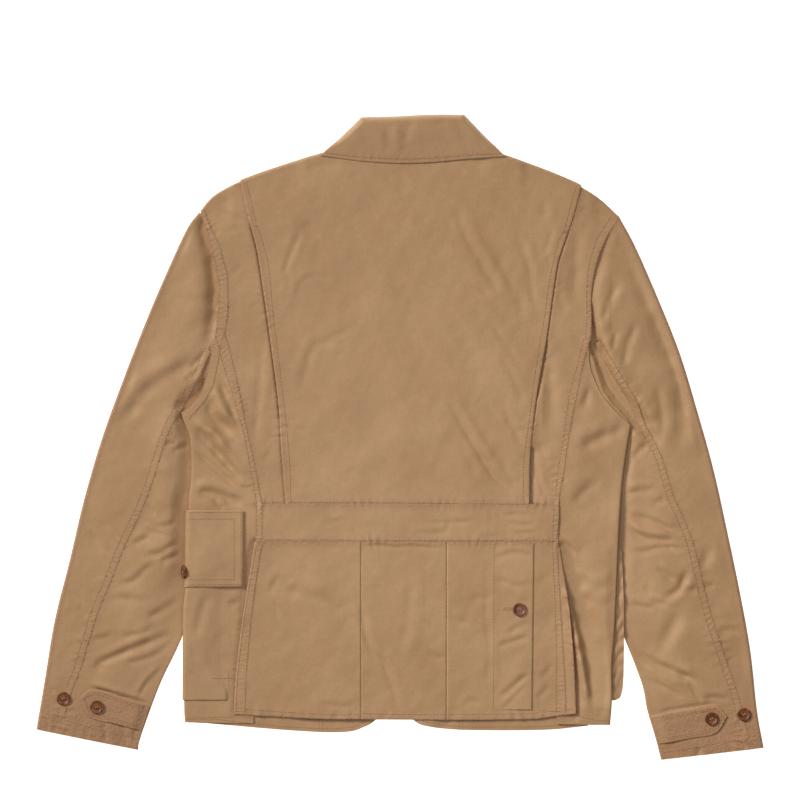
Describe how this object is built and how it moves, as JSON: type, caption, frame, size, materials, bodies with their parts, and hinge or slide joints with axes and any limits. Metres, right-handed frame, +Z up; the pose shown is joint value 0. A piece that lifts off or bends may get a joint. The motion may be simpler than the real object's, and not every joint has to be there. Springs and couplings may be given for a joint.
{
  "type": "field jacket",
  "caption": "Cotton field jacket laid flat on its front, back up, with shoulder pleats, a waistband, a box-pleated skirt, patch pockets and buttoned cuff tabs.",
  "frame": {"origin": "on the surface that the jacket rests on, in the middle of its outline seen from above", "axes": "+X to the wearer's right sleeve, +Y to the collar, +Z up, out of the back"},
  "size_m": [0.872, 0.7741, 0.0198],
  "materials": {
    "cotton_cloth": "washed cotton, plain tight weave, matt with a faint sheen, tonal stitching",
    "horn_button": "brown horn-like button, turned with a raised rim, satin"
  },
  "bodies": {
    "root": {"back_centre": "cotton_cloth", "back_side_left": "cotton_cloth", "back_side_right": "cotton_cloth", "waistband": "cotton_cloth", "skirt_left": "cotton_cloth", "skirt_pleat": "cotton_cloth", "skirt_right": "cotton_cloth", "rear_pocket_placket": "cotton_cloth", "side_left": "cotton_cloth", "side_right": "cotton_cloth", "front_left": "cotton_cloth", "front_right": "cotton_cloth", "sleeve_outer_left": "cotton_cloth", "sleeve_inner_left": "cotton_cloth", "sleeve_outer_right": "cotton_cloth", "sleeve_inner_right": "cotton_cloth", "cuff_tab_left": "cotton_cloth", "cuff_tab_right": "cotton_cloth", "pocket_bag_left": "cotton_cloth", "pocket_bag_right": "cotton_cloth", "pocket_flap_left": "cotton_cloth", "pocket_flap_right": "cotton_cloth", "collar_fall": "cotton_cloth", "collar_stand": "cotton_cloth", "collar_front_left": "cotton_cloth", "collar_front_right": "cotton_cloth", "rear_pocket_button": "horn_button", "pocket_button_left": "horn_button", "pocket_button_right": "horn_button", "cuff_tab_button_left": "horn_button", "cuff_tab_button_right": "horn_button", "cuff_spare_button_left": "horn_button", "cuff_spare_button_right": "horn_button", "front_button_1": "horn_button", "front_button_2": "horn_button", "front_button_3": "horn_button", "front_button_4": "horn_button", "front_button_5": "horn_button"}
  },
  "joints": []
}
